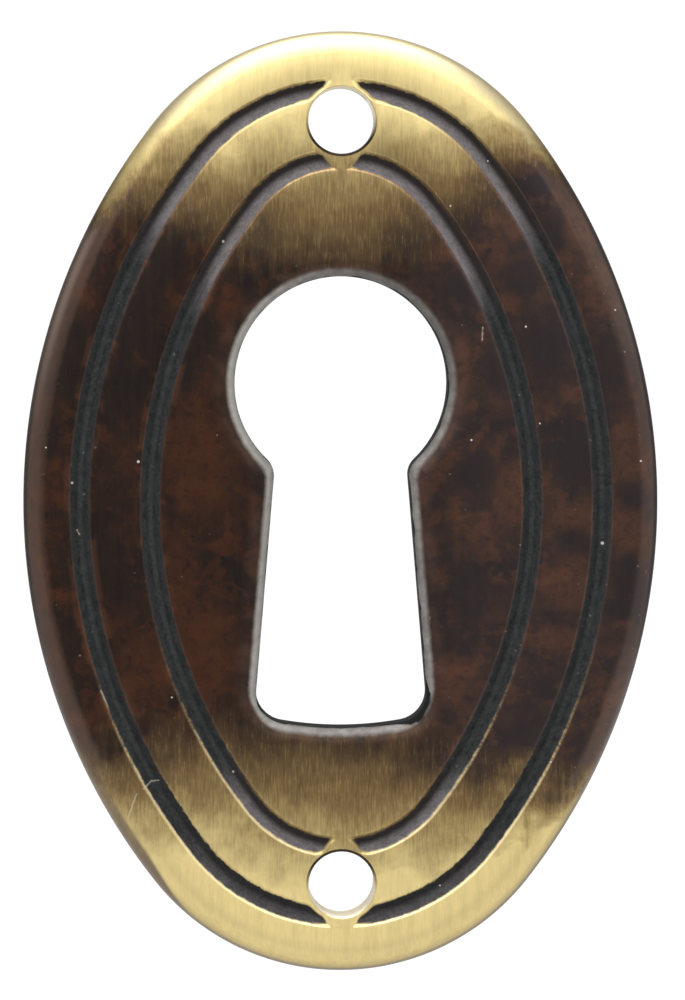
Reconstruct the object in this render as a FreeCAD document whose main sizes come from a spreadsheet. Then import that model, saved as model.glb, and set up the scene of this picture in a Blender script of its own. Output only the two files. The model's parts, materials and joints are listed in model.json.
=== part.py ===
import FreeCAD, Part
import Sketcher
import math
import os

# Oval keyhole escutcheon, one casting, upright as it is fixed on a door.
# The origin is the middle of the back face, +Z is up and -Y is the side that shows.
# All sizes are in millimetres and angles in degrees.

os.makedirs("parts", exist_ok=True)
doc = FreeCAD.newDocument("KeyholeEscutcheon")

# Driving sizes
driving_sizes = [
    ("plate_width", 27.0, "across the oval"),
    ("plate_height", 40.0, "along the oval"),
    ("plate_end_radius", 10.1, "radius of the oval's two ends"),
    ("plate_thickness", 2.0, "back face to front face"),
    ("rim_round", 1.1, "round of the front edge"),
    ("outer_groove_inset", 2.42, "plate edge to the middle of the outer groove"),
    ("inner_groove_inset", 5.4, "plate edge to the middle of the inner groove"),
    ("groove_width", 0.88, "groove at the front face"),
    ("groove_depth", 0.38, "groove below the front face"),
    ("groove_floor_width", 0.2, "flat bottom of a groove"),
    ("pin_hole_inset", 3.8, "end of the plate to the middle of a pin hole"),
    ("pin_hole_diameter", 2.8, "hole for a pin or a small screw"),
    ("pin_hole_edge_break", 0.1, "bevel of a pin hole's front edge"),
    ("land_margin", 0.34, "edge of a pin hole to the edge of its land, at the front face"),
    ("land_offset", 0.1, "middle of a land from its pin hole, towards the keyhole"),
    ("land_slope", 38.0, "lean of a land's side, from upright"),
    ("barrel_rise", 5.0, "middle of the keyhole's round end above the plate's middle"),
    ("barrel_diameter", 9.05, "round end of the keyhole"),
    ("neck_width", 5.65, "keyhole slot where it leaves the round end"),
    ("foot_width", 7.42, "keyhole slot at its foot"),
    ("foot_reach", 14.65, "middle of the round end to the foot of the slot"),
    ("neck_round", 0.9, "round of the keyhole's two neck corners"),
    ("foot_corner_round", 1.3, "round of the keyhole's two foot corners"),
    ("lip_round", 0.35, "round of the keyhole's front edge"),
    ("back_rim_width", 1.6, "bearing rim that meets the door"),
    ("recess_depth", 0.85, "hollow of the back"),
    ("recess_draft", 5.0, "draft of the walls in the hollow"),
    ("boss_wall", 1.2, "metal round a pin hole, in the hollow"),
    ("collar_wall", 1.1, "metal round the keyhole, in the hollow"),
]
sizes = doc.addObject("Spreadsheet::Sheet", "Sizes")
for row, (alias, value, meaning) in enumerate(driving_sizes, start=1):
    sizes.set("A%d" % row, alias)
    sizes.set("B%d" % row, str(value))
    sizes.set("C%d" % row, meaning)
    sizes.setAlias("B%d" % row, alias)
doc.recompute()

body = doc.addObject("PartDesign::Body", "Plate")
body.Label = "escutcheon_plate"
body.Placement = FreeCAD.Placement(FreeCAD.Vector(0, 0, 0), FreeCAD.Rotation())

# What a sketch calls its own origin and axes, and the ends and the centre of an edge
ORIGIN_POINT = (-1, 1)
HORIZONTAL_AXIS = -1
VERTICAL_AXIS = -2
START = 1
END = 2
CENTRE = 3
FLAT = FreeCAD.Vector(0, 0, 1)


def size(alias):
    """A driving size as a plain number, for a sketch's first guess and for finding edges."""
    return float(sizes.get(alias))


def sketch_on(role, name, distance="0"):
    """A sketch on one of the body's origin planes, moved along its normal."""
    sketch = body.newObject("Sketcher::SketchObject", name)
    plane = [item for item in body.Origin.OriginFeatures if item.Role == role][0]
    sketch.AttachmentSupport = [(plane, "")]
    sketch.MapMode = "FlatFace"
    sketch.setExpression("AttachmentOffset.Base.z", distance)
    return sketch


def bind(sketch, name, formula, *constraint):
    """A named constraint whose value follows a formula of the driving sizes."""
    index = sketch.addConstraint(Sketcher.Constraint(*constraint))
    sketch.renameConstraint(index, name)
    sketch.setExpression("Constraints." + name, formula)


def tie(sketch, *constraint):
    """A constraint with no value."""
    sketch.addConstraint(Sketcher.Constraint(*constraint))


def point(x, y):
    return FreeCAD.Vector(x, y, 0)


def arc(sketch, middle, radius, start, end):
    """An arc, anticlockwise between two angles in radians."""
    return sketch.addGeometry(Part.ArcOfCircle(Part.Circle(middle, FLAT, radius), start, end))


def line(sketch, start, end):
    return sketch.addGeometry(Part.LineSegment(start, end))


def finished(item):
    """Recomputes, and stops if the feature failed or left the metal as it was."""
    doc.recompute()
    before = item.BaseFeature.Shape.Volume if item.BaseFeature else 0
    if not item.isValid() or abs(item.Shape.Volume - before) < 1e-6:
        raise RuntimeError(item.Name + " failed or changed nothing")
    return item


def extruded(kind, name, sketch, length=None, inwards=False, draft=None):
    """A pad or a pocket of a sketch, right through if it is given no length."""
    item = body.newObject("PartDesign::" + kind, name)
    item.Profile = sketch
    item.Reversed = inwards
    if length:
        item.setExpression("Length", length)
    else:
        item.Type = "ThroughAll"
    if draft:
        item.setExpression("TaperAngle", draft)
    return finished(item)


def edged(kind, name, base, wanted, amount):
    """A fillet or a chamfer on those edges of a feature whose bounding box passes a test."""
    item = body.newObject("PartDesign::" + kind, name)
    item.Base = (base, ["Edge%d" % number
                        for number, edge in enumerate(base.Shape.Edges, start=1)
                        if wanted(edge.BoundBox)])
    item.setExpression("Radius" if kind == "Fillet" else "Size", amount)
    return finished(item)


# Two places this close are the same place, when edges are looked for
TOUCH = 0.01


def on_front(box):
    """Whether an edge lies in the plane of the front face."""
    front = -size("plate_thickness")
    return abs(box.YMin - front) < TOUCH and abs(box.YMax - front) < TOUCH


# An oval of four arcs that meet without a corner, inset from the plate's edge.
# Every oval of the plate has the same four middles, so the insets are even all round.
def oval(sketch, inset):
    half_height = size("plate_height") / 2
    end_radius = size("plate_end_radius")
    side_radius = (((size("plate_width") / 2) ** 2 + half_height ** 2
                    - 2 * half_height * end_radius) / (size("plate_width") - 2 * end_radius))
    end_middle = half_height - end_radius
    side_middle = side_radius - size("plate_width") / 2
    lean = math.atan2(end_middle, side_middle)
    right = arc(sketch, point(-side_middle, 0), side_radius, -lean, lean)
    top = arc(sketch, point(0, end_middle), end_radius, lean, math.pi - lean)
    left = arc(sketch, point(side_middle, 0), side_radius, math.pi - lean, math.pi + lean)
    bottom = arc(sketch, point(0, -end_middle), end_radius, math.pi + lean, 2 * math.pi - lean)
    tie(sketch, "Tangent", right, END, top, START)
    tie(sketch, "Tangent", top, END, left, START)
    tie(sketch, "Coincident", left, END, bottom, START)
    tie(sketch, "Coincident", bottom, END, right, START)
    tie(sketch, "PointOnObject", top, CENTRE, VERTICAL_AXIS)
    for side in (left, right):
        tie(sketch, "PointOnObject", side, CENTRE, HORIZONTAL_AXIS)
        tie(sketch, "Vertical", side, START, side, END)
    tie(sketch, "Equal", top, bottom)
    tie(sketch, "Equal", left, right)
    bind(sketch, "end_middle", "Sizes.plate_height / 2 - Sizes.plate_end_radius",
         "DistanceY", *ORIGIN_POINT, top, CENTRE, end_middle)
    bind(sketch, "end_radius", "Sizes.plate_end_radius - (%s)" % inset,
         "Radius", top, end_radius)
    bind(sketch, "side_radius",
         "((Sizes.plate_width / 2) ^ 2 + (Sizes.plate_height / 2) ^ 2"
         " - Sizes.plate_height * Sizes.plate_end_radius)"
         " / (Sizes.plate_width - 2 * Sizes.plate_end_radius) - (%s)" % inset,
         "Radius", right, side_radius)


# A circle about each of the two pin holes, its middle moved towards the keyhole.
def circles_on_pin_holes(sketch, radius, offset="0"):
    height = "Sizes.plate_height / 2 - Sizes.pin_hole_inset - (%s)" % offset
    rise = size("plate_height") / 2 - size("pin_hole_inset")
    hole_radius = size("pin_hole_diameter") / 2
    upper = sketch.addGeometry(Part.Circle(point(0, rise), FLAT, hole_radius))
    lower = sketch.addGeometry(Part.Circle(point(0, -rise), FLAT, hole_radius))
    tie(sketch, "PointOnObject", upper, CENTRE, VERTICAL_AXIS)
    tie(sketch, "PointOnObject", lower, CENTRE, VERTICAL_AXIS)
    tie(sketch, "Equal", upper, lower)
    bind(sketch, "radius", radius, "Radius", upper, hole_radius)
    bind(sketch, "upper", height, "DistanceY", *ORIGIN_POINT, upper, CENTRE, rise)
    bind(sketch, "lower", height, "DistanceY", lower, CENTRE, *ORIGIN_POINT, rise)


# The keyhole's outline is a round end, two spreading sides and a foot that is curved
# about the round end's middle. A wall moves all of it outwards.
def keyhole_outline(sketch, wall="0"):
    middle = point(0, size("barrel_rise"))
    barrel_radius = size("barrel_diameter") / 2
    reach = size("foot_reach")
    down = -math.pi / 2
    neck_angle = math.asin(size("neck_width") / 2 / barrel_radius)
    foot_angle = math.asin(size("foot_width") / 2 / reach)
    barrel = arc(sketch, middle, barrel_radius,
                 down + neck_angle, down + 2 * math.pi - neck_angle)
    foot = arc(sketch, middle, reach, down - foot_angle, down + foot_angle)
    right = line(sketch, sketch.getPoint(barrel, START), sketch.getPoint(foot, END))
    left = line(sketch, sketch.getPoint(barrel, END), sketch.getPoint(foot, START))
    tie(sketch, "Coincident", right, START, barrel, START)
    tie(sketch, "Coincident", right, END, foot, END)
    tie(sketch, "Coincident", left, START, barrel, END)
    tie(sketch, "Coincident", left, END, foot, START)
    tie(sketch, "Coincident", foot, CENTRE, barrel, CENTRE)
    tie(sketch, "PointOnObject", barrel, CENTRE, VERTICAL_AXIS)
    tie(sketch, "Horizontal", left, START, right, START)
    tie(sketch, "Horizontal", left, END, right, END)
    bind(sketch, "rise", "Sizes.barrel_rise",
         "DistanceY", *ORIGIN_POINT, barrel, CENTRE, size("barrel_rise"))
    bind(sketch, "barrel_radius", "Sizes.barrel_diameter / 2 + (%s)" % wall,
         "Radius", barrel, barrel_radius)
    bind(sketch, "reach", "Sizes.foot_reach + (%s)" % wall, "Radius", foot, reach)
    bind(sketch, "neck", "Sizes.neck_width + 2 * (%s)" % wall,
         "DistanceX", left, START, right, START, size("neck_width"))
    bind(sketch, "foot", "Sizes.foot_width + 2 * (%s)" % wall,
         "DistanceX", left, END, right, END, size("foot_width"))


def in_keyhole(box, wall=0.0):
    """Whether an edge lies within the keyhole's outline, or the outline moved by a wall."""
    half_width = max(size("barrel_diameter"), size("foot_width")) / 2 + wall
    top = size("barrel_rise") + size("barrel_diameter") / 2 + wall
    bottom = size("barrel_rise") - size("foot_reach") - wall
    return (-half_width - TOUCH < box.XMin and box.XMax < half_width + TOUCH
            and bottom - TOUCH < box.ZMin and box.ZMax < top + TOUCH)


def keyhole_corners(foot, depth, wall=0.0):
    """A test for the corner edges of the keyhole, or of its collar, at the foot or the neck."""
    half_way = size("barrel_rise") - size("foot_reach") / 2

    def wanted(box):
        return (in_keyhole(box, wall) and box.YLength > depth - TOUCH
                and (box.ZMax < half_way if foot else box.ZMin > half_way))
    return wanted


# The blank is an oval plate with a quarter-round front edge
blank_sketch = sketch_on("XZ_Plane", "BlankSketch")
oval(blank_sketch, "0")
blank = extruded("Pad", "Blank", blank_sketch, "Sizes.plate_thickness")
rim = edged("Fillet", "Rim", blank, on_front, "Sizes.rim_round")

# The back is hollow inside a bearing rim, with a collar round the keyhole, whose corners
# are rounded before the bosses of the two pin holes can meet them
recess_sketch = sketch_on("XZ_Plane", "RecessSketch")
oval(recess_sketch, "Sizes.back_rim_width")
recess = extruded("Pocket", "Recess", recess_sketch, "Sizes.recess_depth",
                  inwards=True, draft="-Sizes.recess_draft")
collar_sketch = sketch_on("XZ_Plane", "CollarSketch")
keyhole_outline(collar_sketch, "Sizes.collar_wall")
collar = extruded("Pad", "Collar", collar_sketch, "Sizes.recess_depth",
                  draft="Sizes.recess_draft")
hollow = size("recess_depth")
metal = size("collar_wall") + hollow * math.tan(math.radians(size("recess_draft")))
collar_feet = edged("Fillet", "CollarFeet", collar, keyhole_corners(True, hollow, metal),
                    "Sizes.foot_corner_round + Sizes.collar_wall")
collar_necks = edged("Fillet", "CollarNecks", collar_feet,
                     keyhole_corners(False, hollow, metal), "Sizes.neck_round / 2")
boss_sketch = sketch_on("XZ_Plane", "BossSketch")
circles_on_pin_holes(boss_sketch, "Sizes.pin_hole_diameter / 2 + Sizes.boss_wall")
bosses = extruded("Pad", "Bosses", boss_sketch, "Sizes.recess_depth",
                  draft="Sizes.recess_draft")


# A groove is a V with a narrow flat floor, swept once round the plate at an even inset.
# The profile is drawn where the sweep crosses the plate's upright middle line. Its sides
# run on past the front face as far as the groove is deep.
def groove(name, inset):
    path = sketch_on("XZ_Plane", name + "Path", "Sizes.plate_thickness")
    oval(path, inset)
    profile = sketch_on("YZ_Plane", name + "Profile")
    front = -size("plate_thickness")
    depth = size("groove_depth")
    middle = size("plate_height") / 2 - size("outer_groove_inset")
    half_floor = size("groove_floor_width") / 2
    half_lid = size("groove_width") - half_floor
    floor_low = point(front + depth, middle - half_floor)
    floor_high = point(front + depth, middle + half_floor)
    lid_high = point(front - depth, middle + half_lid)
    lid_low = point(front - depth, middle - half_lid)
    floor = line(profile, floor_low, floor_high)
    upper_side = line(profile, floor_high, lid_high)
    lid = line(profile, lid_high, lid_low)
    lower_side = line(profile, lid_low, floor_low)
    tie(profile, "Coincident", floor, END, upper_side, START)
    tie(profile, "Coincident", upper_side, END, lid, START)
    tie(profile, "Coincident", lid, END, lower_side, START)
    tie(profile, "Coincident", lower_side, END, floor, START)
    tie(profile, "Vertical", floor)
    tie(profile, "Vertical", lid)
    tie(profile, "Equal", upper_side, lower_side)
    bind(profile, "floor_width", "Sizes.groove_floor_width",
         "DistanceY", floor, START, floor, END, 2 * half_floor)
    bind(profile, "lid_width", "2 * Sizes.groove_width - Sizes.groove_floor_width",
         "DistanceY", lid, END, lid, START, 2 * half_lid)
    bind(profile, "floor", "Sizes.plate_thickness - Sizes.groove_depth",
         "DistanceX", floor, START, *ORIGIN_POINT, -front - depth)
    bind(profile, "lid", "Sizes.plate_thickness + Sizes.groove_depth",
         "DistanceX", lid, START, *ORIGIN_POINT, -front + depth)
    bind(profile, "floor_low",
         "Sizes.plate_height / 2 - %s - Sizes.groove_floor_width / 2" % inset,
         "DistanceY", *ORIGIN_POINT, floor, START, floor_low.y)
    doc.recompute()
    sweep = body.newObject("PartDesign::SubtractivePipe", name)
    sweep.Profile = profile
    sweep.Spine = (path, ["Edge1", "Edge2", "Edge3", "Edge4"])
    return finished(sweep)


outer_groove = groove("OuterGroove", "Sizes.outer_groove_inset")
inner_groove = groove("InnerGroove", "Sizes.inner_groove_inset")

# A land round each pin hole fills the grooves, with sloping sides, so they run out to points
land_sketch = sketch_on("XZ_Plane", "LandSketch", "Sizes.plate_thickness")
circles_on_pin_holes(land_sketch, "Sizes.pin_hole_diameter / 2 + Sizes.land_margin",
                     offset="Sizes.land_offset")
lands = extruded("Pad", "Lands", land_sketch, "Sizes.groove_depth",
                 inwards=True, draft="Sizes.land_slope")

# The pin holes go through the lands and the bosses
pin_hole_sketch = sketch_on("XZ_Plane", "PinHoleSketch")
circles_on_pin_holes(pin_hole_sketch, "Sizes.pin_hole_diameter / 2")
pin_holes = extruded("Pocket", "PinHoles", pin_hole_sketch, inwards=True)

# The keyhole goes through the collar
keyhole_sketch = sketch_on("XZ_Plane", "KeyholeSketch")
keyhole_outline(keyhole_sketch)
keyhole = extruded("Pocket", "Keyhole", keyhole_sketch, inwards=True)
through = size("plate_thickness")
necks = edged("Fillet", "Necks", keyhole, keyhole_corners(False, through),
              "Sizes.neck_round")
feet = edged("Fillet", "Feet", necks, keyhole_corners(True, through),
             "Sizes.foot_corner_round")
lip = edged("Fillet", "Lip", feet, lambda box: on_front(box) and in_keyhole(box),
            "Sizes.lip_round")


def round_pin_hole(box):
    """Whether an edge is the front edge of a pin hole."""
    height = size("plate_height") / 2 - size("pin_hole_inset")
    return (on_front(box)
            and abs(box.XLength - size("pin_hole_diameter")) < TOUCH
            and abs(abs(box.Center.z) - height) < TOUCH)


edged("Chamfer", "PinHoleEdges", lip, round_pin_hole, "Sizes.pin_hole_edge_break")

# Every object is sound before anything is written
doc.recompute()
for item in doc.Objects:
    if "Invalid" in item.State or "Error" in item.State:
        raise RuntimeError(item.Name + " failed")
shape = body.Shape
if shape.isNull() or not shape.isValid() or len(shape.Solids) != 1:
    raise RuntimeError(body.Label + " is not one sound solid")
print(body.Label, "volume", round(shape.Volume, 2), "faces", len(shape.Faces))
shape.exportStep("parts/" + body.Label + ".step")
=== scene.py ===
import json
import math

import bmesh
import bpy
from mathutils import Matrix, Vector


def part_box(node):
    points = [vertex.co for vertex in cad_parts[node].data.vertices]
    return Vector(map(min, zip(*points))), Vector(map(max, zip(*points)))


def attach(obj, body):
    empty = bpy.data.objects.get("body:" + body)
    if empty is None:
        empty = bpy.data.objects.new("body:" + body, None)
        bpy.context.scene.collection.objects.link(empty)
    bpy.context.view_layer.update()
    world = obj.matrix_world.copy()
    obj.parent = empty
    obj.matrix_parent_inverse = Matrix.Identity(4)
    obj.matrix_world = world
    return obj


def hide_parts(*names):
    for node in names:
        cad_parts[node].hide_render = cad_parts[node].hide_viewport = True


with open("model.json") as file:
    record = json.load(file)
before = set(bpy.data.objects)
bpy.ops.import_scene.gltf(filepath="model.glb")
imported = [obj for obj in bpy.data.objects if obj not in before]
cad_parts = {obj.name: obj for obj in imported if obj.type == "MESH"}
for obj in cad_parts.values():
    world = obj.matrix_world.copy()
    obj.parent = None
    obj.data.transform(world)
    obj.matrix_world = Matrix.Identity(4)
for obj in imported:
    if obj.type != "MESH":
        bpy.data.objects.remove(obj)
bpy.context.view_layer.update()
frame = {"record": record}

# The casting. The escutcheon is one oval plate of cast brass, 2 mm thick, with a rounded
# front edge, two grooves that run round it at an even inset, and a hollow back inside a
# bearing rim. Its section is drawn at the top of the oval and swept once round it.
MM = 0.001
low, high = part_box("escutcheon_plate")
plate_width = (high.x - low.x) / MM
plate_height = (high.z - low.z) / MM
thickness = (high.y - low.y) / MM
front = low.y / MM

end_radius = 10.1
side_radius = ((plate_width / 2) ** 2 + (plate_height / 2) ** 2
               - plate_height * end_radius) / (plate_width - 2 * end_radius)
end_middle = plate_height / 2 - end_radius
side_middle = side_radius - plate_width / 2
side_lean = math.atan2(end_middle, side_middle)

crown_inset = 1.3
crown_drop = 0.095
crown_round = 5
rim_round = 1.02
back_edge_round = 0.06
recess_corner_round = 0.15
outer_groove_inset = 2.42
inner_groove_inset = 5.4
groove_width = 0.88
groove_floor_width = 0.2
groove_depth = 0.38
groove_lip_round = 0.16
groove_floor_round = 0.14
back_rim_width = 1.6
recess_depth = 0.85
recess_lean = math.radians(5)
flat_inset = 6.2
flat = 0.2

OUTWARDS = Vector((0, 1, 0))
SAME_PLACE = 0.0005
BARELY_DEEP = 0.001


def draw_section(bm, corners, heel):
    """A chain of edges in the upright plane through heel, with its corners rounded.

    A corner is how far it lies below heel, how deep behind the front face, the radius
    of its round and the number of facets in it.
    """
    verts = [bm.verts.new(heel + Vector((0, depth, -drop))) for drop, depth, _, _ in corners]
    for one, other in zip(verts, verts[1:]):
        bm.edges.new((one, other))
    rounds = []
    for before, vert, after, (_, _, radius, facets) in zip(verts, verts[1:], verts[2:],
                                                           corners[1:]):
        if radius:
            bend = (before.co - vert.co).angle(after.co - vert.co)
            rounds.append((vert, radius / math.tan(bend / 2), facets))
    for vert, reach, facets in rounds:
        bmesh.ops.bevel(bm, geom=[vert], offset=reach, offset_type="OFFSET", segments=facets,
                        profile=0.5, affect="VERTICES", clamp_overlap=False, material=-1)


def only(kind, items):
    return [item for item in items if isinstance(item, kind)]


def sweep(bm, path):
    """Carries what is drawn along turns (middle, angle, facets) and runs (way, 0, 0)."""
    section = list(bm.verts) + list(bm.edges)
    for way, angle, facets in path:
        if facets:
            section = bmesh.ops.spin(bm, geom=section, cent=way, axis=OUTWARDS,
                                     angle=angle, steps=facets)["geom_last"]
        else:
            made = bmesh.ops.extrude_edge_only(
                bm, edges=only(bmesh.types.BMEdge, section))["geom"]
            bmesh.ops.translate(bm, vec=way, verts=only(bmesh.types.BMVert, made))
            section = only((bmesh.types.BMVert, bmesh.types.BMEdge), made)


def mirror(bm, axis):
    everything = list(bm.verts) + list(bm.edges) + list(bm.faces)
    bmesh.ops.mirror(bm, geom=everything, matrix=Matrix(), merge_dist=SAME_PLACE, axis=axis)


def groove_corners(inset):
    lip = groove_width / 2
    floor = groove_floor_width / 2
    return [(inset - lip, 0, groove_lip_round, 4),
            (inset - floor, groove_depth, groove_floor_round, 4),
            (inset + floor, groove_depth, groove_floor_round, 4),
            (inset + lip, 0, groove_lip_round, 4)]


recess_slant = recess_depth * math.tan(recess_lean)
recess_floor = thickness - recess_depth
plate_section = [
    (back_rim_width + recess_slant + flat, recess_floor, 0, 0),
    (back_rim_width + recess_slant, recess_floor, recess_corner_round, 3),
    (back_rim_width, thickness, back_edge_round, 2),
    (0, thickness, back_edge_round, 3),
    (0, crown_drop, rim_round, 14),
    (crown_inset, 0, crown_round, 6),
    *groove_corners(outer_groove_inset),
    *groove_corners(inner_groove_inset),
    (flat_inset, 0, 0, 0),
]
plate = bmesh.new()
draw_section(plate, plate_section, Vector((0, front, plate_height / 2)))

# The longer slopes get more rows of points, so that the lands can bend a groove's sides
shortest_slope = 0.12
for edge in list(plate.edges):
    deepest = max(vert.co.y - front for vert in edge.verts)
    if BARELY_DEEP < deepest < groove_depth and edge.calc_length() > shortest_slope:
        bmesh.ops.subdivide_edges(plate, edges=[edge], cuts=3)

sweep(plate, [(Vector((0, 0, end_middle)), math.pi / 2 - side_lean, 110),
              (Vector((-side_middle, 0, 0)), side_lean, 75)])
mirror(plate, "X")
mirror(plate, "Z")

# The keyhole. A round end for the key's barrel over a slot that spreads towards its foot,
# which is curved about the round end's middle. Its front edge is softly rounded, and at
# the back a collar of metal stands round it, level with the bearing rim.
barrel_middle = Vector((0, 0, 5.1))
barrel_radius = 4.525
neck_half_width = 2.825
foot_half_width = 3.71
foot_reach = 14.65
neck_round = 0.9
foot_corner_round = 1.3
lip_reach = 0.66
lip_drop = 0.1
lip_crown_round = 1.8
lip_round = 0.36
keyhole_back_round = 0.05
collar_wall = 1.1
narrow_flat = 0.15


def heading(way):
    """The angle of a direction, from straight up towards the right."""
    return math.atan2(way.x, way.z)


def down_the_keyhole(wall, neck, corner):
    """The path round the keyhole's right half, moved outwards by a wall, from its top."""
    radius = barrel_radius + wall
    reach = foot_reach + wall
    neck_at = Vector((neck_half_width + wall, 0, 0))
    neck_at.z = -math.sqrt(radius ** 2 - neck_at.x ** 2)
    foot_at = Vector((foot_half_width + wall, 0, 0))
    foot_at.z = -math.sqrt(reach ** 2 - foot_at.x ** 2)
    down = (foot_at - neck_at).normalized()
    out = Vector((-down.z, 0, down.x))

    def beside_slot(offset, distance):
        """The point this far beside the slot's side and from the round end's middle."""
        start = neck_at + out * offset
        along = start.dot(down)
        return start + down * (math.sqrt(along ** 2 - start.length_squared + distance ** 2)
                               - along)

    neck_middle = beside_slot(neck, radius + neck)
    foot_middle = beside_slot(-corner, reach - corner)
    return [
        (barrel_middle, heading(neck_middle), 60),
        (barrel_middle + neck_middle, heading(-out) - heading(-neck_middle), 12),
        (foot_middle + out * corner - neck_middle + out * neck, 0, 0),
        (barrel_middle + foot_middle, heading(foot_middle) - heading(out), 16),
        (barrel_middle, math.pi - heading(foot_middle), 7),
    ]


def put_in(bm, part):
    """Adds a part's faces to a larger shape."""
    carrier = bpy.data.meshes.new("part")
    part.to_mesh(carrier)
    part.free()
    bm.from_mesh(carrier)
    bpy.data.meshes.remove(carrier)


keyhole_section = [(-lip_reach - flat, 0, 0, 0), (-lip_reach, 0, lip_crown_round, 5),
                   (0, lip_drop, lip_round, 9), (0, thickness, keyhole_back_round, 2),
                   (-narrow_flat, thickness, 0, 0)]
top_of_keyhole = barrel_middle + Vector((0, front, barrel_radius))
opening = bmesh.new()
draw_section(opening, keyhole_section, top_of_keyhole)
sweep(opening, down_the_keyhole(0, neck_round, foot_corner_round))
mirror(opening, "X")
put_in(plate, opening)

# What stands in the hollow back has a drafted side, from the recess to the bearing plane
stand_foot_round = 0.12
stand_section = [(narrow_flat, thickness, 0, 0), (0, thickness, back_edge_round, 2),
                 (-recess_slant, recess_floor, stand_foot_round, 3),
                 (-recess_slant - flat, recess_floor, 0, 0)]
collar = bmesh.new()
draw_section(collar, stand_section, top_of_keyhole + Vector((0, 0, collar_wall)))
sweep(collar, down_the_keyhole(collar_wall, neck_round / 2, foot_corner_round + collar_wall))
mirror(collar, "X")
put_in(plate, collar)

# The pin holes. One at each end, between the grooves, for an escutcheon pin. Round each,
# a land of full thickness fills the grooves, so that they run out to points beside it,
# and at the back a boss carries the hole down to the bearing plane.
holes = [mount for mount in frame["record"]["mounts"] if mount["name"] == "pin_holes"][0]
pin_hole = Vector((0, 0, holes["dims"]["spacing_y_mm"] / 2))
pin_hole_radius = holes["dims"]["hole_r_mm"]
boss_wall = 1.2
bosses = bmesh.new()
draw_section(bosses, stand_section, pin_hole + Vector((0, front, pin_hole_radius + boss_wall)))
sweep(bosses, [(pin_hole, 2 * math.pi, 80)])
mirror(bosses, "Z")
put_in(plate, bosses)

# Flat faces close the front, the recess and the bearing plane between those outlines
bmesh.ops.remove_doubles(plate, verts=plate.verts, dist=SAME_PLACE)
for depth in (0, recess_floor, thickness):
    open_edges = [edge for edge in plate.edges if edge.is_boundary
                  and all(abs(vert.co.y - front - depth) < SAME_PLACE for vert in edge.verts)]
    bmesh.ops.triangle_fill(plate, edges=open_edges, use_beauty=True,
                            normal=OUTWARDS if depth else -OUTWARDS)
bmesh.ops.recalc_face_normals(plate, faces=plate.faces)

# The lands. Round a pin hole nothing lies deeper than the land's slope there, which
# starts softly at its margin and runs smoothly into the grooves. The margin peaks towards
# the middle, so that the ends of a groove stay apart.
land_margin = 0.17
land_peak = 0.4
land_peak_reach = 0.8
land_offset = 0.05
land_lean = math.radians(38)
land_soft = 0.05
land_blend = 0.16
land_reach = 1
below_grooves = groove_depth + 0.01
for side in (1, -1):
    land_middle = side * (pin_hole.z - land_offset)
    for vert in plate.verts:
        depth = vert.co.y - front
        peak = land_peak * max(0, 1 - (vert.co.x / land_peak_reach) ** 2)
        beyond = (math.hypot(vert.co.x, vert.co.z - land_middle)
                  - pin_hole_radius - land_margin - peak)
        if 0 < depth < below_grooves and beyond < land_reach:
            drop = beyond / math.tan(land_lean)
            drop = (drop + math.hypot(drop, land_soft)) / 2
            near = max(0, 1 - abs(depth - drop) / land_blend)
            vert.co.y = front + max(0, min(depth, drop) - near ** 2 * land_blend / 4)

mesh = bpy.data.meshes.new("escutcheon")
bmesh.ops.scale(plate, vec=(MM, MM, MM), verts=plate.verts)
plate.to_mesh(mesh)
mesh.shade_smooth()
escutcheon = bpy.data.objects.new("escutcheon", mesh)
bpy.context.scene.collection.objects.link(escutcheon)

# A drill for the two holes, with a flared mouth that softens their front edge
hole_mouth_round = 0.08
drill_overrun = 1
drill = bmesh.new()
draw_section(drill, [(-hole_mouth_round, -drill_overrun, 0, 0), (-hole_mouth_round, 0, 0, 0),
                     (0, hole_mouth_round, 0, 0), (0, thickness + drill_overrun, 0, 0)],
             pin_hole + Vector((0, front, pin_hole_radius)))
sweep(drill, [(pin_hole, 2 * math.pi, 96)])
mirror(drill, "Z")
bmesh.ops.remove_doubles(drill, verts=drill.verts, dist=SAME_PLACE)
bmesh.ops.holes_fill(drill, edges=drill.edges, sides=0)
bmesh.ops.recalc_face_normals(drill, faces=drill.faces)
bmesh.ops.scale(drill, vec=(MM, MM, MM), verts=drill.verts)
drill_mesh = bpy.data.meshes.new("drill")
drill.to_mesh(drill_mesh)
cutter = bpy.data.objects.new("drill", drill_mesh)
bpy.context.scene.collection.objects.link(cutter)
cut = escutcheon.modifiers.new("pin_holes", "BOOLEAN")
cut.operation = "DIFFERENCE"
cut.solver = "EXACT"
cut.object = cutter
bpy.context.view_layer.update()
drilled = escutcheon.evaluated_get(bpy.context.evaluated_depsgraph_get())
drilled_mesh = bpy.data.meshes.new_from_object(drilled)
escutcheon.modifiers.clear()
escutcheon.data = drilled_mesh
bpy.data.objects.remove(cutter)

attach(escutcheon, "root")
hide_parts("escutcheon_plate")

# The finish. Brass, brushed upright and shaded by hand: a dark brown patina over the
# middle, rubbed back to bare gold at both ends, left black in the grooves, and lacquered.
# Lengths are in millimetres, and each layer's strength is a share from nought to one.


def tone(red, green, blue):
    """A colour as a paint chart gives it, 0 to 255, as the shader wants it."""
    return tuple(((part / 255 + 0.055) / 1.055) ** 2.4 for part in (red, green, blue)) + (1,)


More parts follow.
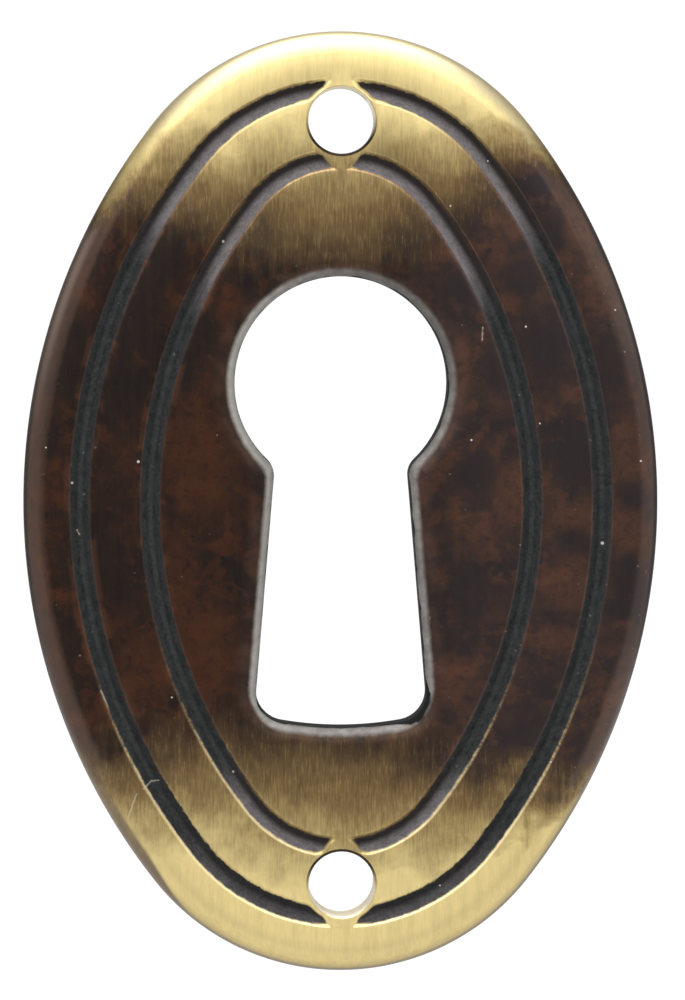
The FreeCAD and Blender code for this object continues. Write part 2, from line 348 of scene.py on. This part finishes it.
class Field:
    """A value that varies over the surface, which sums and products can be made of."""

    def __init__(self, socket):
        self.socket = socket

    def node(self, kind, settings, inputs, output=0):
        """Any other node of the same material: its settings first, then its sockets."""
        tree = self.socket.id_data
        node = tree.nodes.new(kind)
        for name, value in settings.items():
            if name == "stops":
                ramp = node.color_ramp.elements
                while len(ramp) < len(value):
                    ramp.new(1)
                for stop, (place, colour) in zip(ramp, value):
                    stop.position = place
                    stop.color = colour
            else:
                setattr(node, name, value)
        for name, value in inputs.items():
            if isinstance(value, Field):
                tree.links.new(value.socket, node.inputs[name])
            else:
                node.inputs[name].default_value = value
        return Field(node.outputs[output])

    def maths(self, operation, *values):
        return self.node("ShaderNodeMath", {"operation": operation}, dict(enumerate(values)))

    def vectors(self, operation, *values, output=0):
        return self.node("ShaderNodeVectorMath", {"operation": operation},
                         dict(enumerate(values)), output)

    def __add__(self, other):
        return self.maths("ADD", self, other)

    def __sub__(self, other):
        return self.maths("SUBTRACT", self, other)

    def __rsub__(self, other):
        return self.maths("SUBTRACT", other, self)

    def __mul__(self, other):
        return self.maths("MULTIPLY", self, other)

    def __truediv__(self, other):
        return self.maths("DIVIDE", self, other)

    __radd__ = __add__
    __rmul__ = __mul__

    def __abs__(self):
        return self.maths("ABSOLUTE", self)

    def least(self, other):
        return self.maths("MINIMUM", self, other)

    def most(self, other):
        return self.maths("MAXIMUM", self, other)

    def rise(self, low, high):
        """Nought below low, one above high and a smooth step between."""
        return self.node("ShaderNodeMapRange", {"interpolation_type": "SMOOTHSTEP"},
                         {"Value": self, "From Min": low, "From Max": high})

    def over(self, under, colour):
        """This much of a colour laid over another."""
        return self.node("ShaderNodeMix", {"data_type": "RGBA"}, {0: self, 6: under, 7: colour}, 2)

    def coordinate(self, which):
        return self.node("ShaderNodeSeparateXYZ", {}, {0: self}, which)

    def point(self, across, depth, up):
        return self.node("ShaderNodeCombineXYZ", {}, {0: across, 1: depth, 2: up})

    def distance(self, across, up):
        """How far from the upright line through a point of the front."""
        return self.vectors("LENGTH", self.point(across, 0, up), output=1)

    def nearest_spot(self, spots):
        """How far from the middle of the nearest spot (across, up, wide, high), one at its edge."""
        nearest = None
        for across, up, wide, high in spots:
            moved = self.vectors("MULTIPLY_ADD", self, (1 / wide, 0, 1 / high),
                                 (-across / wide, 0, -up / high))
            share = self.vectors("LENGTH", moved, output=1)
            nearest = nearest.least(share) if nearest else share
        return nearest

    def noise(self, scale, detail, roughness=0.5, distortion=0):
        return self.node("ShaderNodeTexNoise", {}, {
            "Vector": self, "Scale": scale, "Detail": detail, "Roughness": roughness,
            "Distortion": distortion})


finish = bpy.data.materials.new("shaded antique brass")
finish.use_nodes = True
tree = finish.node_tree
shader = tree.nodes["Principled BSDF"]
at = Field(tree.nodes.new("ShaderNodeTexCoord").outputs["Object"])
place = at.node("ShaderNodeVectorMath", {"operation": "SCALE"}, {0: at, "Scale": 1 / MM})
across, outwards, up = [place.coordinate(which) for which in range(3)]
left = 0 - across
below = 0 - up
depth = outwards - front

# How far in from the plate's edge, from the oval's end arcs or its side arcs
aside = abs(across)
away = abs(up)
in_end = end_radius - place.distance(aside, away - end_middle)
in_side = side_radius - place.distance(aside + side_middle, away)
at_end = (away * side_middle - (aside + side_middle) * end_middle).rise(-0.01, 0.01)
inset = in_side + (in_end - in_side) * at_end

# How far outside the keyhole's edge, and outside the edge of a pin hole
above_foot = 4
from_barrel = place.distance(across, up - barrel_middle.z)
slot_top = barrel_middle.z - math.sqrt(barrel_radius ** 2 - neck_half_width ** 2)
slot_bottom = barrel_middle.z - math.sqrt(foot_reach ** 2 - foot_half_width ** 2)
spread = (foot_half_width - neck_half_width) / (slot_top - slot_bottom)
beside = aside - neck_half_width - (slot_top - up) * spread
below_foot = (from_barrel - foot_reach).most(up - above_foot)
from_slot = place.distance((beside + foot_corner_round).most(0),
                           (below_foot + foot_corner_round).most(0)) - foot_corner_round
from_keyhole = place.maths("SMOOTH_MIN", from_barrel - barrel_radius, from_slot, neck_round * 0.7)
from_pin_hole = place.distance(across, away - pin_hole.z) - pin_hole_radius

# How far beyond the land round the nearer pin hole
land_squared = 1 - across * across / land_peak_reach ** 2
from_land = (place.distance(across, away - pin_hole.z + land_offset) - pin_hole_radius
             - land_margin - land_squared.most(0) * land_peak)

# Grain of the surface, from hairlines down to sand, and the stains of the patina, which
# lie crosswise on the right
hairline = place.point(across * 12, depth * 12, up * 1.3).noise(1, 3, 0.65)
streak = place.point(across * 3, depth * 3, up * 0.25).noise(1, 2, 0.5)
sand = place.noise(8, 3, 0.65)
crumble = place.noise(2.5, 3, 0.6)
mottle = place.noise(0.75, 4, 0.55, 0.5)
stain_left = place.point(across * 0.3, depth, up * 0.3).noise(1, 4, 0.55, 0.3)
stain_right = place.point(across * 0.16, depth, up * 0.55).noise(1, 4, 0.55, 0.4)
on_right = across.rise(1, 6)
stain = stain_left + (stain_right - stain_left) * on_right

# How bare the brass is: the gold of both ends fades over some millimetres into the patina
wander = ((mottle - 0.5) * 2.6 + (stain - 0.5) * 3 + (crumble - 0.5) * 0.7
          + (hairline - 0.5) * 1.2 + (streak - 0.5) * 2.0)
squared = across * across
top_line = 12.5 + squared * 0.035 + across * 0.09 - left.rise(6, 9) * 0.7
bottom_line = (12.1 + squared * 0.008 + across * 0.06 - across.rise(5, 8) * 0.9
               - left.rise(3, 7) * 0.4)
edge_rub = 1 - inset.rise(0.2, 1.0)
past_top = up - top_line + edge_rub * 1.8
past_bottom = below - bottom_line + edge_rub * (0.3 + on_right * 0.6)
past_line = past_top.most(past_bottom) + wander
fade = 4.6 - aside * 0.3 + left.most(0) * 0.1
bare = ((past_line + fade) / (fade * 2)).most(0).least(1)

gold_tones = [(0.0, tone(44, 34, 30)), (0.14, tone(60, 46, 37)), (0.3, tone(86, 68, 47)),
              (0.5, tone(124, 102, 66)), (0.7, tone(170, 148, 98)), (1.0, tone(222, 202, 141))]
brass = place.node("ShaderNodeValToRGB", {"stops": gold_tones}, {0: bare})
dark = 1 - bare.rise(0.05, 0.45)

# The patina, blackest to brown, with orange and black blotches, each given by how far
# across and up it lies and how wide and high it is
orange_blotches = [(7.5, 0.3, 1.2, 1.8), (9.9, -0.5, 1.2, 0.6), (9.7, -3.4, 1.2, 1.4),
                   (12.2, 2.5, 0.9, 1.6), (12.2, -1.1, 0.9, 1.0), (9.1, -5.7, 1.5, 0.6),
                   (10.0, 11.7, 0.7, 1.2), (5.1, 6.0, 0.4, 1.6), (-5.6, 1.5, 1.6, 2.6),
                   (-6.9, 2.6, 1.0, 1.6), (-4.6, 8.5, 0.6, 0.8), (-5.8, -6.2, 1.8, 2.6),
                   (-8.2, -7.0, 1.5, 1.8), (-6.9, -2.8, 1.0, 2.0), (4.6, -7.4, 1.0, 1.2)]
black_blotches = [(10.0, 1.6, 1.2, 1.3), (10.0, -1.7, 1.2, 0.6), (12.2, 0.5, 0.9, 0.7),
                  (12.2, -3.3, 0.9, 1.2), (5.8, 1.2, 1.1, 0.9), (5.4, -3.8, 1.0, 2.0),
                  (6.9, 6.0, 1.0, 2.0), (-6.9, 6.0, 1.0, 1.6), (-5.9, 7.6, 0.8, 1.0),
                  (11.4, 6.2, 1.2, 1.6), (8.6, 6.6, 1.4, 2.2), (5.4, 9.4, 1.3, 1.2),
                  (7.6, 9.6, 1.2, 1.0), (9.2, 11.4, 0.7, 0.9), (-11.5, 6.3, 1.4, 2.0),
                  (-9.2, 4.8, 1.3, 1.6), (-7.4, 10.4, 0.9, 1.4), (-8.8, 8.0, 1.2, 1.4),
                  (-10.2, -2.6, 1.4, 2.2), (-3.4, 11.2, 0.7, 0.9), (3.0, 10.9, 0.9, 0.8)]
orange_here = 1 - (place.nearest_spot(orange_blotches) + (crumble - 0.5) * 1.2).rise(0.45, 1.25)
black_here = 1 - (place.nearest_spot(black_blotches) + (crumble - 0.5) * 1.2).rise(0.45, 1.35)
blackest = on_right.over(tone(28, 22, 21), tone(44, 38, 40))
browner = on_right.over(tone(50, 30, 22), tone(64, 47, 41))
orange = on_right.over(tone(80, 44, 24), tone(96, 63, 46))
ground = stain.rise(0.34, 0.62).over(blackest, browner)
ground = (mottle.rise(0.52, 0.66) * 0.45).over(ground, orange)
ground = ((1 - mottle.rise(0.35, 0.45)) * 0.8).over(ground, blackest)
patches = place.noise(1.3, 4, 0.6)
ground = (patches.rise(0.52, 0.6) * 0.45).over(ground, blackest)
ground = ((1 - patches.rise(0.38, 0.46)) * 0.35).over(ground, orange)
ground = (black_here * 0.9).over(ground, blackest)
ground = (orange_here * crumble.rise(0.2, 0.8) * 0.9).over(ground, orange)
ground = (crumble.rise(0.5, 0.68) * 0.45).over(ground, blackest)
ground = ((1 - sand.rise(0.25, 0.5)) * 0.15).over(ground, orange)
brass = (black_here * (1 - bare.rise(0.5, 0.9)) * 0.6).over(brass, tone(70, 58, 48))
colour = dark.over(brass, ground)

# Hairlines of the brush show most where the brass is half bare
half_bare = bare * (1 - bare) * 4
brushed = (hairline.rise(0.38, 0.64) * (0.08 + half_bare * 0.32)
           + streak.rise(0.4, 0.65) * (0.08 + half_bare * 0.2))
colour = brushed.over(colour, tone(70, 52, 32))
shine = (1 - hairline.rise(0.3, 0.5)) * half_bare * 0.16
colour = shine.over(colour, tone(206, 182, 124))

# Along the grooves the brush has thinned the patina to a warm brown, here and there
outer_line = inset - outer_groove_inset
inner_line = inset - inner_groove_inset
from_groove = abs(outer_line).least(abs(inner_line)) - groove_width / 2
thinned = (1 - from_groove.rise(0.1, 0.3)) * mottle.rise(0.48, 0.6)
colour = (thinned * dark * (0.4 - on_right * 0.3)).over(colour, tone(88, 56, 38))

# Round the keyhole a paler band is painted, a painted reflection of the side lights where the
# surface curves into the opening
keyhole_sheen = (1 - from_keyhole.rise(0.5, 1.1)) * (0.25 + mottle.rise(0.4, 0.6) * 0.75)
colour = (keyhole_sheen * dark * (0.1 + crumble * 0.5)).over(colour, tone(96, 74, 66))

# The plate's rounded rim is painted paler, a painted sheen of the side lights, but not beside the
# keyhole on the right, where it is painted darker as painted shade. At the ends the gold has a
# painted highlight along the edge above and a thin painted shade along the edge below.
# Painted sheen: the rounded rim is painted paler, as the side lights' reflection
rim_sheen = (1 - (inset + (crumble - 0.5) * 0.3).rise(0.75, 1.05)) * dark
beside_middle = on_right * (1 - away.rise(4, 8))
rim_sheen = rim_sheen * (0.22 + crumble * 0.25) * (1 - beside_middle * 0.8)
colour = rim_sheen.over(colour, tone(102, 80, 68))
# Painted shade: the rim beside the middle on the right is painted darker
colour = ((1 - inset.rise(0.1, 0.9)) * dark * beside_middle * 0.5).over(colour, tone(52, 38, 34))
# Painted highlight: a pale band along the rim's edge at the upper left
upper_left = (up * 0.77 - across * 0.64).rise(10, 15)
colour = ((1 - inset.rise(0.3, 0.6)) * dark * upper_left * 0.4).over(colour, tone(158, 138, 124))
# Painted highlight: the top edge of the rim is painted whiter
top_edge_highlight = (1 - inset.rise(0.3, 0.8)) * up.rise(14.5, 17.5)
colour = (top_edge_highlight * 0.3).over(colour, tone(246, 242, 224))
at_bottom = below.rise(8, 12)
# Painted shade: the rim's gold is dimmed at the bottom end, most at its edge
colour = ((1 - inset.rise(0.9, 1.4)) * at_bottom * bare * 0.22).over(colour, tone(140, 122, 84))
colour = ((1 - inset.rise(0.2, 0.5)) * at_bottom * bare * 0.3).over(colour, tone(110, 98, 76))
# Painted shade: a thin dark line along the lower edge, where the rounded edge turns away from the
# light
bottom_edge_shade = 1 - (inset - left.rise(6.4, 8.4) * 0.36).rise(0.06, 0.26)
colour = (bottom_edge_shade * below.rise(4, 10) * bare * 0.85).over(colour, tone(92, 78, 68))

# The keyhole's lip is grey, partly bare metal and partly a painted reflection, with painted shade
# at the upper right and a painted highlight on the left. Its wall is painted black as painted
# shade, most of all in the right corner of the slot's foot.
in_mouth = 1 - from_keyhole.rise(0.42, 0.5)
lip_colour = crumble.rise(0.3, 0.7).over(tone(128, 124, 120), tone(104, 100, 97))
# Painted shade: the lip is darker at the upper right
upper_right = (across + up - barrel_middle.z).rise(1, 6)
lip_colour = (upper_right * 0.5).over(lip_colour, tone(60, 56, 52))
# Painted highlight: the lip is paler on the left
lip_colour = (left.rise(1, 5) * 0.4).over(lip_colour, tone(172, 170, 162))
on_lip = 1 - (from_keyhole + (crumble - 0.5) * 0.08).rise(0.2, 0.44)
colour = on_lip.over(colour, lip_colour)
# Painted shade: the wall is painted black, deepest in the right corner of the slot's foot
foot_corner = 1 - place.distance(across - foot_half_width + 0.1, up + 8.9).rise(0.5, 1.7)
wall = (depth + (mottle - 0.5) * 0.5 + foot_corner * 0.22).rise(0.26, 0.34) * in_mouth
colour = wall.over(colour, tone(10, 9, 9))

# The grooves keep their black. Its upper edge is ragged and its lower edge is rubbed clean, with a
# painted highlight along it, and towards the plate's ends a groove's lower side, which faces up, is
# painted light grey as painted light.
between_grooves = (outer_groove_inset + inner_groove_inset) / 2
to_outer = 1 - inset.rise(between_grooves - 0.01, between_grooves)
lower = (up * 0.08).most(-1).least(1)
groove_line = (inner_line + (outer_line - inner_line) * to_outer) * lower
on_lower_side = groove_line.rise(-0.12, 0.2)
at_ends = (below - aside * 1.6).rise(2, 7) * (0.8 - to_outer * 0.5)
at_ends = (up - aside * 1.1).rise(0, 5).most(at_ends)
on_upper_side = (1 - on_lower_side) * at_ends
ragged = ((sand - 0.5) * 0.14 + (crumble - 0.5) * 0.2) * (1 - on_lower_side * 0.6)
from_middle = abs(outer_line).least(abs(inner_line)) + ragged + on_upper_side * 0.1
beside_land = 1 - from_land.rise(0.3, 0.6)
shallow = 1 - (depth + ragged * 0.1).rise(0.05, 0.15)
black = (1 - from_middle.rise(0.37, 0.45)) * (1 - beside_land * shallow)
fringe = (1 - from_middle.rise(0.4, 0.6)) * on_upper_side * (1 - beside_land) * bare
colour = (fringe * 0.7).over(colour, tone(112, 84, 48))
sandy = (sand * 0.6 + crumble * 0.4).rise(0.34, 0.66)
groove_colour = sandy.over(tone(15, 16, 16), tone(42, 43, 44))
browned = sandy.over(tone(28, 23, 21), tone(40, 33, 30))
groove_colour = on_upper_side.over(groove_colour, browned)
# Painted light: a groove's lower flank, which faces up, is painted light grey
lit_flank_grey = sandy.over(tone(82, 78, 80), tone(112, 106, 107))
groove_colour = (on_lower_side * at_ends).over(groove_colour, lit_flank_grey)
colour = black.over(colour, groove_colour)
# Partly wear and partly a painted highlight along a groove's lower lip
worn_lip_and_highlight = from_middle.rise(0.38, 0.44) * (1 - from_middle.rise(0.46, 0.56)) * on_lower_side
lip_tone = below.rise(0, 4).over(tone(150, 112, 98), tone(206, 182, 134))
worn_lip_and_highlight = worn_lip_and_highlight * away.rise(4, 12) * (0.22 + below.rise(7, 12) * 0.4)
colour = (worn_lip_and_highlight * (sand * 0.5 + crumble * 0.5).rise(0.36, 0.6)).over(colour, lip_tone)
lit_lip = from_middle.rise(0.34, 0.42) * (1 - from_middle.rise(0.42, 0.54)) * on_lower_side
lit_lip = lit_lip * at_bottom * bare * (1 - beside_land * shallow)
colour = (lit_lip * 0.5).over(colour, tone(238, 222, 178))

# A pin hole's wall is painted pale, partly bare brass and partly a painted highlight, and painted
# dark on the side towards the plate's middle as painted shade
pin_mouth = 1 - from_pin_hole.rise(0.1, 0.13)
# Partly bare brass and partly a painted highlight round the hole's mouth
colour = (pin_mouth * depth.rise(0.02, 0.05)).over(colour, tone(236, 226, 200))
# Painted shade on the mouth's side towards the plate's middle
inner_edge_shade = 1 - (away - pin_hole.z).rise(-0.9, 0.5)
colour = (pin_mouth * inner_edge_shade).over(colour, tone(46, 38, 28))

# The outside wall of the plate and the hollow back are left as cast, mottled and brown,
# and what bears on the door is rubbed brighter
as_cast = depth.rise(0.85, 1.0) * (1 - in_mouth) * (1 - pin_mouth)
cast_colour = mottle.rise(0.3, 0.7).over(tone(70, 56, 46), tone(104, 86, 68))
cast_colour = (crumble.rise(0.5, 0.7) * 0.4).over(cast_colour, tone(50, 42, 38))
rubbed_back = depth.rise(thickness - 0.12, thickness - 0.04) * (0.4 + crumble * 0.5)
cast_colour = rubbed_back.over(cast_colour, tone(168, 142, 98))
colour = as_cast.over(colour, cast_colour)
on_front = 1 - as_cast

# Dust, a few pale specks each given by where it lies and its size, and fine grit
specks = [(-11.4, 0.9, 0.07), (-8.6, 1.8, 0.08), (11.1, -1.7, 0.09), (7.8, 7.5, 0.06),
          (12.7, 1.8, 0.06), (11.6, 8.2, 0.05), (5.5, 2.7, 0.06), (4.2, -16.3, 0.05),
          (-4.6, -11.4, 0.06), (-7.2, -8.2, 0.05), (-5.0, 11.1, 0.07), (4.6, 12.6, 0.05),
          (6.2, 14.5, 0.05), (8.4, 3.4, 0.05), (-12.5, 2.4, 0.05), (8.9, -11.0, 0.05)]
dust = 1 - place.nearest_spot([(*speck, speck[2]) for speck in specks]).rise(0.4, 1)
grit = place.noise(6, 0).rise(0.79, 0.9) * crumble.rise(0.4, 0.6) * 0.3
dust = dust.most(grit * (1 - bare * 0.7)) * (1 - depth.rise(0.5, 0.6))
colour = (dust * 0.8).over(colour, tone(190, 186, 176))

# Scratches, each from one place to another: across, up, across, up
scratches = [(5.97, 7.47, 5.95, 6.9), (-11.2, -1.1, -11.1, -1.3), (-10.2, -7.9, -9.9, -8.6),
             (-8.4, -12.1, -8.1, -11.8), (-8.1, -11.8, -7.75, -11.75), (-8.7, -12.3, -9.1, -13.4)]


def from_scratch(start_across, start_up, end_across, end_up):
    """How far from a scratch, or from its nearer end."""
    start = Vector((start_across, 0, start_up))
    run = Vector((end_across, 0, end_up)) - start
    way = tuple(run.normalized())
    from_start = place.vectors("SUBTRACT", place.point(across, 0, up), tuple(start))
    along = place.vectors("DOT_PRODUCT", from_start, way, output=1).most(0).least(run.length)
    beside_it = place.node("ShaderNodeVectorMath", {"operation": "SCALE"}, {0: way, "Scale": along})
    return place.vectors("DISTANCE", from_start, beside_it, output=1)


nearest_scratch = from_scratch(*scratches[0])
for scratch in scratches[1:]:
    nearest_scratch = nearest_scratch.least(from_scratch(*scratch))
scratched = (1 - (nearest_scratch + (sand - 0.5) * 0.12).rise(0, 0.05)) * 0.5 * on_front
colour = scratched.over(colour, tone(176, 166, 150))

# Blacking, dust and scratches hide the metal and its lacquer, and are duller. The surface
# has the brush's hairlines, and is sandy in the grooves and on the back.
covered = (black.most(on_lip * 0.6).most(scratched) * on_front).most(wall).most(dust)
metal = 1 - covered
roughness = 0.4 + bare * 0.06 + (hairline - 0.5) * 0.2 * half_bare
roughness = roughness + covered * 0.3 + wall * 0.3 + as_cast * 0.15
coat = (0.35 - bare * 0.15) * metal
shader.inputs["Coat Roughness"].default_value = 0.27
shader.inputs["Specular IOR Level"].default_value = 0.3
relief = hairline * (bare * 0.1 + half_bare * 0.3) * on_front
relief = relief + sand * (black * on_front * 1.6 + as_cast * 2.5) + crumble * 0.4
bump = place.node("ShaderNodeBump", {}, {"Strength": 0.35, "Distance": 0.02 * MM, "Height": relief})
for name, value in (("Base Color", colour), ("Roughness", roughness), ("Metallic", metal),
                    ("Coat Weight", coat), ("Normal", bump)):
    tree.links.new(value.socket, shader.inputs[name])
escutcheon.data.materials.clear()
escutcheon.data.materials.append(finish)
weighted = escutcheon.modifiers.new("flat faces stay flat", "WEIGHTED_NORMAL")
weighted.weight = 100
weighted.keep_sharp = True

# The studio. A pale floor below the plate, a large soft light overhead, weaker ones at
# both sides, in front and behind, and white all round.
floor_drop = 0.05
floor_radius = 0.18
floor_shape = bmesh.new()
bmesh.ops.create_circle(floor_shape, cap_ends=True, radius=floor_radius, segments=96)
bmesh.ops.translate(floor_shape, vec=(0, 0, -floor_drop), verts=floor_shape.verts)
floor_mesh = bpy.data.meshes.new("floor")
floor_shape.to_mesh(floor_mesh)
floor = bpy.data.objects.new("floor", floor_mesh)
floor_paint = bpy.data.materials.new("pale floor")
floor_paint.use_nodes = True
paint = floor_paint.node_tree.nodes["Principled BSDF"]
paint.inputs["Base Color"].default_value = (0.75, 0.75, 0.75, 1)
paint.inputs["Roughness"].default_value = 0.8
paint.inputs["Specular IOR Level"].default_value = 0.2
floor_mesh.materials.append(floor_paint)
bpy.context.scene.collection.objects.link(floor)


def softbox(name, place, width, height, brightness):
    """A soft light that faces the plate, as bright all over as its brightness says."""
    light = bpy.data.lights.new(name, "AREA")
    light.shape = "RECTANGLE"
    light.size = width
    light.size_y = height
    light.energy = brightness * math.pi * width * height
    lamp = bpy.data.objects.new(name, light)
    lamp.location = place
    lamp.visible_camera = False
    lamp.rotation_mode = "QUATERNION"
    lamp.rotation_quaternion = (-Vector(place)).to_track_quat("-Z", "Y")
    bpy.context.scene.collection.objects.link(lamp)


softbox("overhead", (-0.03, -0.16, 0.42), 0.5, 0.75, 3.7)
softbox("left", (-0.45, -0.12, 0.0), 0.7, 0.6, 0.9)
softbox("right", (0.45, -0.12, 0.0), 0.7, 0.6, 1.1)
softbox("front", (0.0, -0.7, 0.3), 0.7, 0.35, 2.3)
softbox("behind", (0.0, 0.6, 0.03), 0.4, 0.4, 1.2)

# The white all round looks brighter than it lights, so that it doesn't wash out the plate
world = bpy.data.worlds.new("studio")
bpy.context.scene.world = world
world.use_nodes = True
surroundings = world.node_tree.nodes["Background"]
rays = world.node_tree.nodes.new("ShaderNodeLightPath")
white = world.node_tree.nodes.new("ShaderNodeMapRange")
white.inputs["To Min"].default_value = 0.22
white.inputs["To Max"].default_value = 1.05
world.node_tree.links.new(rays.outputs["Is Camera Ray"], white.inputs["Value"])
world.node_tree.links.new(white.outputs[0], surroundings.inputs["Strength"])
surroundings.inputs["Color"].default_value = (1, 1, 1, 1)
bpy.context.scene.view_settings.view_transform = "Standard"

# The camera stands a little above and left of the plate's middle, as the photograph's did
camera = bpy.data.objects.new("camera", bpy.data.cameras.new("camera"))
bpy.context.scene.collection.objects.link(camera)
bpy.context.scene.camera = camera
camera.location = (-0.006, -0.202, 0.0095)
aim = Vector((0.000036, front * MM, 0.000165))
camera.data.lens = 170.3
camera.data.clip_start = 0.01
camera.rotation_mode = "QUATERNION"
camera.rotation_quaternion = (aim - camera.location).to_track_quat("-Z", "Y")
